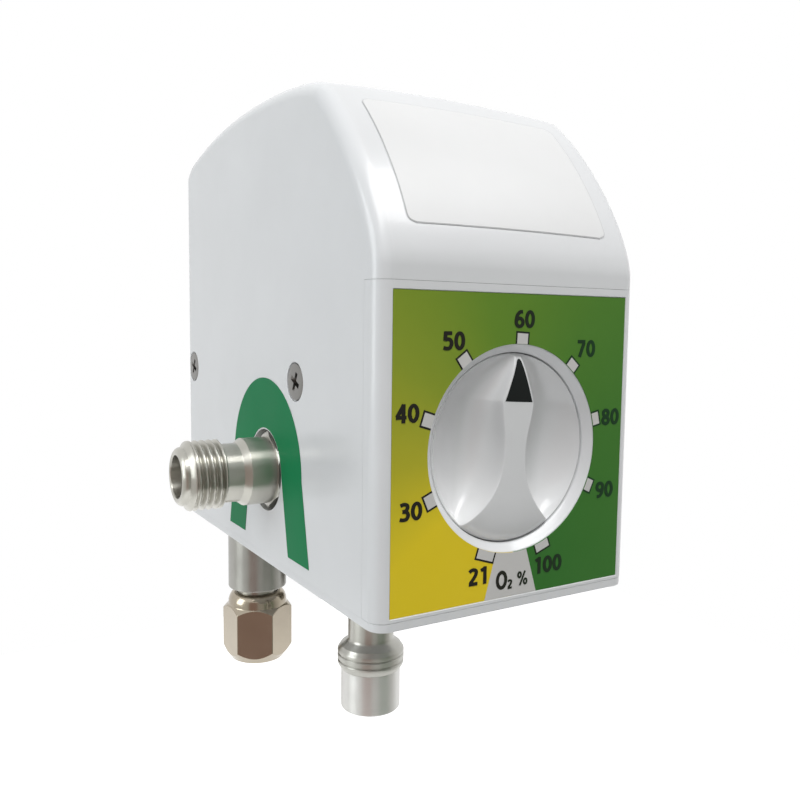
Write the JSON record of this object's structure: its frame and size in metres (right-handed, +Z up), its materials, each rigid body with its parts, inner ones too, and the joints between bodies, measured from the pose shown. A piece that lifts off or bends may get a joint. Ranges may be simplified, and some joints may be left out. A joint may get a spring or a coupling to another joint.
{
  "type": "air-oxygen blender",
  "caption": "Wall or rail hung gas mixer: a white moulded case with a flush rotary oxygen dial, a threaded side outlet, two gas inlets and an alarm below",
  "frame": {"origin": "middle of the rear face of the dovetail slide mount", "axes": "+X to the right seen from the front, +Y back into the wall or rail, +Z up"},
  "size_m": [0.0763, 0.1167, 0.1391],
  "materials": {
    "white_plastic": "glossy moulded white",
    "printed_film": "satin film",
    "green_film": "satin film",
    "dial_film": "satin film, yellow to green",
    "black_plastic": "satin",
    "nickel_plate": "bright nickel plate on turned brass",
    "stainless_steel": "turned",
    "anodised_aluminium": "clear anodised, machined",
    "brass": "turned",
    "sintered_bronze": "porous sintered",
    "black_rubber": "matt",
    "spring_steel": "drawn wire"
  },
  "bodies": {
    "housing": {"cover": "white_plastic", "front_panel": "white_plastic", "base_plate": "white_plastic", "top_label": "printed_film", "outlet_label": "green_film", "dial_label": "dial_film", "alarm_reed": "black_plastic", "outlet_body": "nickel_plate", "oxygen_adapter": "nickel_plate", "air_inlet": "nickel_plate", "oxygen_nipple": "nickel_plate", "alarm_body": "nickel_plate", "alarm_cap": "nickel_plate", "cover_screw_left_1": "stainless_steel", "cover_screw_left_2": "stainless_steel", "cover_screw_right_1": "stainless_steel", "cover_screw_right_2": "stainless_steel", "panel_screw_1": "stainless_steel", "panel_screw_2": "stainless_steel", "panel_screw_3": "stainless_steel", "panel_screw_4": "stainless_steel", "base_screw_1": "stainless_steel", "base_screw_2": "stainless_steel", "base_screw_3": "stainless_steel", "base_screw_4": "stainless_steel", "balance_screw_1": "stainless_steel", "balance_screw_2": "stainless_steel", "balance_screw_3": "stainless_steel", "slide_screw_1": "stainless_steel", "slide_screw_2": "stainless_steel", "manifold": "anodised_aluminium", "balance_base": "anodised_aluminium", "balance_cap": "anodised_aluminium", "slide_mount": "anodised_aluminium", "bonnet": "brass", "air_seat": "brass", "oxygen_seat": "brass", "outlet_ring": "brass", "oxygen_ring": "brass", "air_ring": "brass", "oxygen_filter": "sintered_bronze", "air_filter": "sintered_bronze", "spindle_seal": "black_rubber", "outlet_seal": "black_rubber", "valve_spring": "spring_steel", "outlet_spring": "spring_steel", "oxygen_check_spring": "spring_steel", "air_check_spring": "spring_steel", "balance_spring": "spring_steel"},
    "dial": {"knob": "white_plastic", "pointer": "black_plastic", "knob_screw": "stainless_steel", "spindle": "stainless_steel"},
    "cone": {"valve_cone": "stainless_steel"},
    "outlet_valve": {"outlet_poppet": "stainless_steel"},
    "nut": {"oxygen_nut": "nickel_plate"},
    "oxygen_valve": {"oxygen_check": "stainless_steel"},
    "air_valve": {"air_check": "stainless_steel"},
    "spool": {"balance_spool": "stainless_steel", "balance_diaphragm": "black_rubber"}
  },
  "joints": [
    {"name": "dial_turn", "type": "hinge", "parent": "housing", "child": "dial", "pos_m": [0, -0.1167, -0.0109], "axis": [0, 1, 0], "range_deg": [-166.5, 156.8]},
    {"name": "cone_slide", "type": "slide", "parent": "housing", "child": "cone", "axis": [0, 1, 0], "range_m": [-0.0012, 0.0012], "deforming": ["valve_spring"]},
    {"name": "outlet_poppet_slide", "type": "slide", "parent": "housing", "child": "outlet_valve", "axis": [1, 0, 0], "range_m": [0, 0.002], "stiffness_N_per_m": 200, "springref_m": -0.002, "deforming": ["outlet_spring"]},
    {"name": "nut_spin", "type": "hinge", "parent": "housing", "child": "nut", "pos_m": [-0.0136, -0.0237, -0.07], "axis": [0, 0, 1], "continuous": true},
    {"name": "oxygen_check_slide", "type": "slide", "parent": "housing", "child": "oxygen_valve", "axis": [0, 0, 1], "range_m": [0, 0.002], "stiffness_N_per_m": 100, "springref_m": -0.002, "deforming": ["oxygen_check_spring"]},
    {"name": "air_check_slide", "type": "slide", "parent": "housing", "child": "air_valve", "axis": [0, 0, 1], "range_m": [0, 0.002], "stiffness_N_per_m": 100, "springref_m": -0.002, "deforming": ["air_check_spring"]},
    {"name": "spool_slide", "type": "slide", "parent": "housing", "child": "spool", "axis": [0, 0, 1], "range_m": [-0.0003, 0.0003], "stiffness_N_per_m": 2000, "deforming": ["balance_spring"]}
  ],
  "couplings": [
    {"joint": "cone_slide", "follows": "dial_turn", "m_per_rad": -0.0004}
  ]
}
